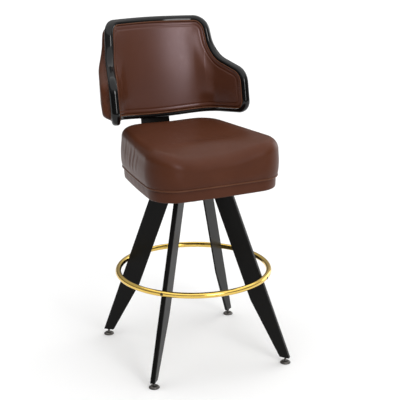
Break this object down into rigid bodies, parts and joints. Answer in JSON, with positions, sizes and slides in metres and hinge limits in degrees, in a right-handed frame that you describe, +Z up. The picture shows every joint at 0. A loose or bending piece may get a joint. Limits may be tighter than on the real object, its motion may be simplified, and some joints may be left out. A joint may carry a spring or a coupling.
{
  "type": "swivel bar stool",
  "caption": "Bar-height swivel stool with a thick upholstered seat, a low wrap-around back with a bumper edge, splayed steel legs, a round foot ring and levelling glides.",
  "frame": {"origin": "on the floor under the middle of the stool's bounding box; the swivel axis is vertical through x = 0, y = -26.69 mm", "axes": "+Z up; the sitter faces -Y; +X is on the right of someone who stands in front and looks at the stool"},
  "size_m": [0.5424, 0.5984, 1.1127],
  "materials": {
    "leg_black": "satin",
    "zinc_steel": "satin",
    "polished_brass": "polished",
    "screw_black": "satin",
    "swivel_steel": "satin",
    "bright_steel": "polished",
    "bush_bronze": "satin",
    "plywood": "matte",
    "brown_leather": "satin",
    "foam": "matte",
    "black_cambric": "matte",
    "bracket_black": "satin",
    "black_bumper": "gloss",
    "nylon": "matte",
    "glide_steel": "satin"
  },
  "bodies": {
    "base": {"leg_rear_right": "leg_black", "leg_rear_left": "leg_black", "leg_front_left": "leg_black", "leg_front_right": "leg_black", "base_plate": "leg_black", "foot_plugs": "zinc_steel", "plate_bolts": "zinc_steel", "plate_nuts": "zinc_steel", "pivot_bolt": "zinc_steel", "pivot_washer": "zinc_steel", "pivot_nut": "zinc_steel", "foot_ring": "polished_brass", "ring_screws": "screw_black", "swivel_lower_plate": "swivel_steel"},
    "ball_cage": {"ball_retainer": "zinc_steel", "bearing_balls": "bright_steel"},
    "seat": {"swivel_upper_plate": "swivel_steel", "pivot_bush": "bush_bronze", "seat_board": "plywood", "seat_frame": "plywood", "back_shell": "plywood", "seat_bolts": "zinc_steel", "seat_tee_nuts": "zinc_steel", "bracket_bolts": "zinc_steel", "bracket_tee_nuts": "zinc_steel", "back_bolts": "zinc_steel", "back_tee_nuts": "zinc_steel", "seat_cover": "brown_leather", "seat_band": "brown_leather", "seat_welt": "brown_leather", "back_inner_pad": "brown_leather", "back_outer_pad": "brown_leather", "back_inner_welt": "brown_leather", "back_outer_welt": "brown_leather", "seat_foam": "foam", "dust_cover": "black_cambric", "back_bracket": "bracket_black", "back_trim": "black_bumper"},
    "glide_rear_right": {"glide_sole_rear_right": "nylon", "glide_cup_rear_right": "glide_steel", "glide_stem_rear_right": "glide_steel"},
    "glide_rear_left": {"glide_sole_rear_left": "nylon", "glide_cup_rear_left": "glide_steel", "glide_stem_rear_left": "glide_steel"},
    "glide_front_left": {"glide_sole_front_left": "nylon", "glide_cup_front_left": "glide_steel", "glide_stem_front_left": "glide_steel"},
    "glide_front_right": {"glide_sole_front_right": "nylon", "glide_cup_front_right": "glide_steel", "glide_stem_front_right": "glide_steel"}
  },
  "joints": [
    {"name": "seat_swivel", "type": "hinge", "parent": "base", "child": "seat", "pos_m": [0, -0.02961, 0.6112], "axis": [0, 0, 1], "continuous": true},
    {"name": "cage_roll", "type": "hinge", "parent": "base", "child": "ball_cage", "pos_m": [0, -0.02961, 0.6112], "axis": [0, 0, 1], "continuous": true},
    {"name": "level_rear_right", "type": "slide", "parent": "base", "child": "glide_rear_right", "axis": [0, 0, -1], "range_m": [-0.008, 0.006]},
    {"name": "level_rear_left", "type": "slide", "parent": "base", "child": "glide_rear_left", "axis": [0, 0, -1], "range_m": [-0.008, 0.006]},
    {"name": "level_front_left", "type": "slide", "parent": "base", "child": "glide_front_left", "axis": [0, 0, -1], "range_m": [-0.008, 0.006]},
    {"name": "level_front_right", "type": "slide", "parent": "base", "child": "glide_front_right", "axis": [0, 0, -1], "range_m": [-0.008, 0.006]}
  ],
  "couplings": [
    {"joint": "cage_roll", "follows": "seat_swivel", "ratio": 0.5}
  ]
}
